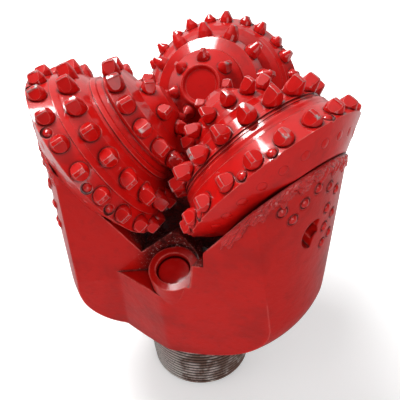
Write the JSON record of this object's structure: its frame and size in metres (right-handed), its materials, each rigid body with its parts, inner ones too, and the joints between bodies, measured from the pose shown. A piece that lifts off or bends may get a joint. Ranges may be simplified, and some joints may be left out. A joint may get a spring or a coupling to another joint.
{
  "type": "tricone drill bit",
  "caption": "Rotary drill bit with interlocking insert-studded rolling cones on sealed journals, jet nozzles between the legs and a tapered pin that screws to a drill collar.",
  "frame": {"origin": "centre of the end face of the threaded pin, on the bit's axis", "axes": "+Z along the bit's axis from the pin towards the cones; -Y through the front jet nozzle side; +X to the right seen from the front"},
  "size_m": [0.3091, 0.2986, 0.4404],
  "materials": {
    "painted_body": "glossy red enamel over forged steel",
    "painted_cone": "glossy red enamel over machined steel",
    "painted_carbide": "red enamel over tungsten carbide",
    "carbide": "ground tungsten carbide",
    "bronze": "turned bearing bronze",
    "bearing_steel": "polished bearing steel",
    "seal_rubber": "moulded nitrile rubber",
    "spring_steel": "phosphated spring steel"
  },
  "bodies": {
    "bit_body": {"leg_1": "painted_body", "shirttail_buttons_1": "painted_carbide", "thrust_washer_1": "bronze", "ball_plug_1": "painted_body", "nozzle_1": "carbide", "nozzle_port_plug_1": "painted_body", "reservoir_cap_1": "painted_body", "reservoir_diaphragm_1": "seal_rubber", "leg_2": "painted_body", "shirttail_buttons_2": "painted_carbide", "thrust_washer_2": "bronze", "ball_plug_2": "painted_body", "nozzle_2": "carbide", "nozzle_port_plug_2": "painted_body", "reservoir_cap_2": "painted_body", "reservoir_diaphragm_2": "seal_rubber", "leg_3": "painted_body", "shirttail_buttons_3": "painted_carbide", "thrust_washer_3": "bronze", "ball_plug_3": "painted_body", "nozzle_3": "carbide", "nozzle_port_plug_3": "painted_body", "reservoir_cap_3": "painted_body", "reservoir_diaphragm_3": "seal_rubber", "nozzle_o_rings": "seal_rubber", "nozzle_snap_rings": "spring_steel", "cap_snap_rings": "spring_steel"},
    "cone_1": {"cone_1": "painted_cone", "gauge_inserts_1": "painted_carbide", "second_row_inserts_1": "painted_carbide", "inner_inserts_1": "painted_carbide", "heel_buttons_1": "painted_carbide", "trimmer_inserts_1": "painted_carbide", "journal_bushing_1": "bronze", "pilot_bushing_1": "bronze", "seal_ring_1": "seal_rubber"},
    "ball_set_1": {"bearing_balls_1": "bearing_steel"},
    "cone_2": {"cone_2": "painted_cone", "gauge_inserts_2": "painted_carbide", "second_row_inserts_2": "painted_carbide", "inner_inserts_2": "painted_carbide", "heel_buttons_2": "painted_carbide", "trimmer_inserts_2": "painted_carbide", "journal_bushing_2": "bronze", "pilot_bushing_2": "bronze", "seal_ring_2": "seal_rubber"},
    "ball_set_2": {"bearing_balls_2": "bearing_steel"},
    "cone_3": {"cone_3": "painted_cone", "gauge_inserts_3": "painted_carbide", "second_row_inserts_3": "painted_carbide", "inner_inserts_3": "painted_carbide", "heel_buttons_3": "painted_carbide", "trimmer_inserts_3": "painted_carbide", "journal_bushing_3": "bronze", "pilot_bushing_3": "bronze", "seal_ring_3": "seal_rubber"},
    "ball_set_3": {"bearing_balls_3": "bearing_steel"}
  },
  "joints": [
    {"name": "cone_1_spin", "type": "hinge", "parent": "bit_body", "child": "cone_1", "pos_m": [-0.0647, -0.04393, 0.35935], "axis": [0.7263, 0.4193, 0.5446], "continuous": true},
    {"name": "ball_set_1_spin", "type": "hinge", "parent": "bit_body", "child": "ball_set_1", "pos_m": [-0.0647, -0.04393, 0.35935], "axis": [0.7263, 0.4193, 0.5446], "continuous": true},
    {"name": "cone_2_spin", "type": "hinge", "parent": "bit_body", "child": "cone_2", "pos_m": [0.0704, -0.03406, 0.35935], "axis": [-0.7263, 0.4193, 0.5446], "continuous": true},
    {"name": "ball_set_2_spin", "type": "hinge", "parent": "bit_body", "child": "ball_set_2", "pos_m": [0.0704, -0.03406, 0.35935], "axis": [-0.7263, 0.4193, 0.5446], "continuous": true},
    {"name": "cone_3_spin", "type": "hinge", "parent": "bit_body", "child": "cone_3", "pos_m": [-0.0057, 0.078, 0.35935], "axis": [0, -0.8387, 0.5446], "continuous": true},
    {"name": "ball_set_3_spin", "type": "hinge", "parent": "bit_body", "child": "ball_set_3", "pos_m": [-0.0057, 0.078, 0.35935], "axis": [0, -0.8387, 0.5446], "continuous": true}
  ],
  "couplings": [
    {"joint": "ball_set_1_spin", "follows": "cone_1_spin", "ratio": 0.603},
    {"joint": "ball_set_2_spin", "follows": "cone_2_spin", "ratio": 0.603},
    {"joint": "ball_set_3_spin", "follows": "cone_3_spin", "ratio": 0.603}
  ]
}
